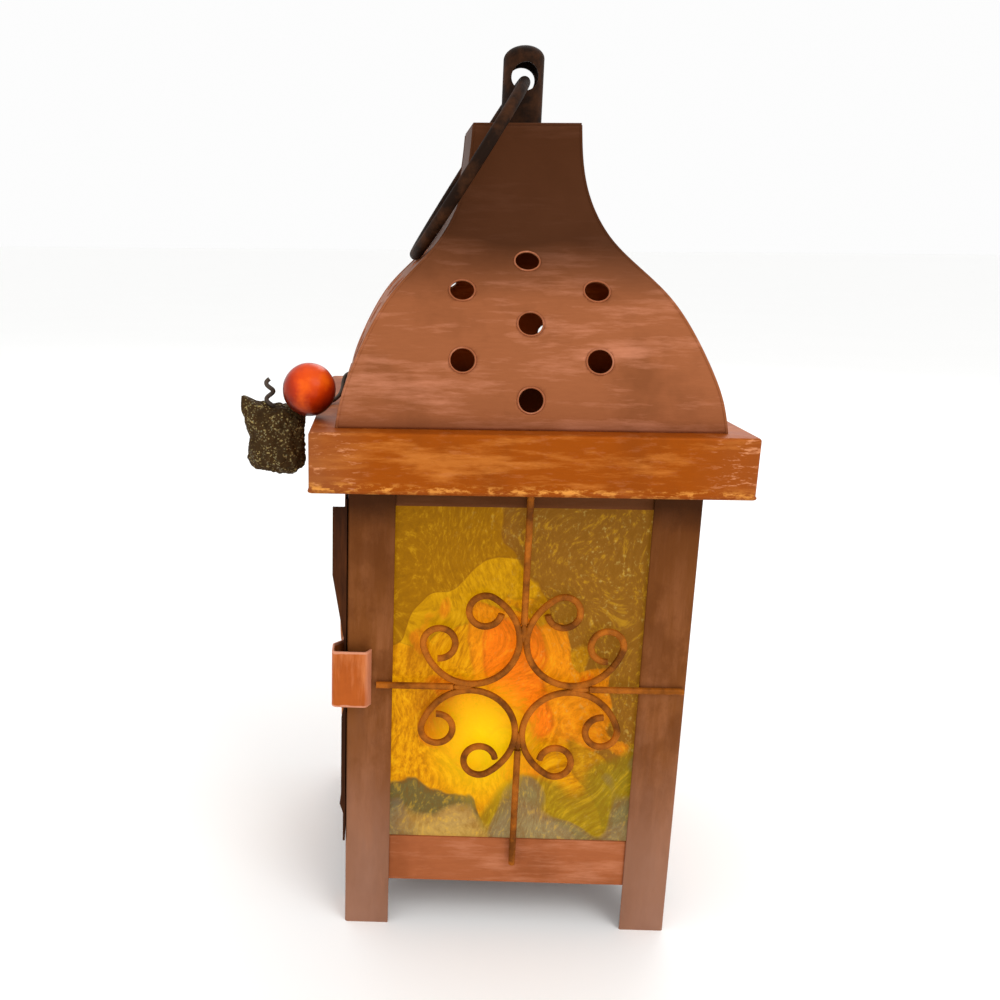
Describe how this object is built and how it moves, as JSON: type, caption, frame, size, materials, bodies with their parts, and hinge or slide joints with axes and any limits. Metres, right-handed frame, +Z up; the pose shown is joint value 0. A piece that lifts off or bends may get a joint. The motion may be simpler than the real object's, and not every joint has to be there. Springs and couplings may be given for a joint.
{
  "type": "punched tin lantern",
  "caption": "Square tin candle lantern with a punched ogee roof, a carry ring, painted glass behind wire scrollwork, and a hinged side door.",
  "frame": {"origin": "centre of the body on the floor, under the feet", "axes": "+Z up, -Y towards the front pane, -X towards the door, +X to the right"},
  "size_m": [0.1794, 0.152, 0.3333],
  "materials": {
    "post_tin": "brushed copper brown",
    "rail_tin": "brushed copper brown",
    "painted_glass": "painted amber, backlit",
    "roof_tin": "brushed copper brown, streaked",
    "eave_tin": "brushed copper orange",
    "scroll_wire": "satin copper brown",
    "dark_iron": "satin near black",
    "strap_copper": "brushed copper orange",
    "fastener_steel": "dull",
    "wax": "soft satin",
    "wick": "charred",
    "berry": "gloss",
    "pod": "rough, glittered",
    "stem": "satin",
    "inner_tin": "dull",
    "door_tin": "brushed dark brown"
  },
  "bodies": {
    "lantern": {"front_left_post": "post_tin", "front_right_post": "post_tin", "rear_right_post": "post_tin", "rear_left_post": "post_tin", "front_bottom_rail": "rail_tin", "front_top_rail": "rail_tin", "right_bottom_rail": "rail_tin", "right_top_rail": "rail_tin", "rear_bottom_rail": "rail_tin", "rear_top_rail": "rail_tin", "left_bottom_rail": "rail_tin", "left_top_rail": "rail_tin", "floor_pan": "inner_tin", "front_glass": "painted_glass", "right_glass": "painted_glass", "rear_glass": "painted_glass", "glass_corner_strips": "inner_tin", "eave_band": "eave_tin", "front_roof_panel": "roof_tin", "right_roof_panel": "roof_tin", "rear_roof_panel": "roof_tin", "left_roof_panel": "roof_tin", "neck_cap": "roof_tin", "hanger_tube": "dark_iron", "front_scrolls": "scroll_wire", "front_stays": "scroll_wire", "right_scrolls": "scroll_wire", "right_stays": "scroll_wire", "rear_scrolls": "scroll_wire", "rear_stays": "scroll_wire", "hinge_post_leaves": "door_tin", "hinge_pins": "fastener_steel", "candle_cup": "inner_tin", "sprig_berry": "berry", "sprig_pod": "pod", "sprig_stem": "stem"},
    "door": {"door_frame": "door_tin", "door_glass": "painted_glass", "door_scrolls": "scroll_wire", "door_stays": "scroll_wire", "hinge_door_leaves": "door_tin", "latch_strap": "strap_copper", "latch_rivets": "fastener_steel"},
    "ring": {"carry_ring": "dark_iron"},
    "candle": {"candle_wax": "wax", "candle_wick": "wick"}
  },
  "joints": [
    {"name": "door_hinge", "type": "hinge", "parent": "lantern", "child": "door", "pos_m": [-0.0644, 0.056, 0.105], "axis": [0, 0, -1], "range_deg": [0, 115]},
    {"name": "ring_swing", "type": "hinge", "parent": "lantern", "child": "ring", "pos_m": [0, 0, 0.32], "axis": [0, 1, 0], "range_deg": [0, 296.3]},
    {"name": "candle_lift", "type": "slide", "parent": "lantern", "child": "candle", "axis": [0, 0, 1], "range_m": [0, 0.014]}
  ]
}
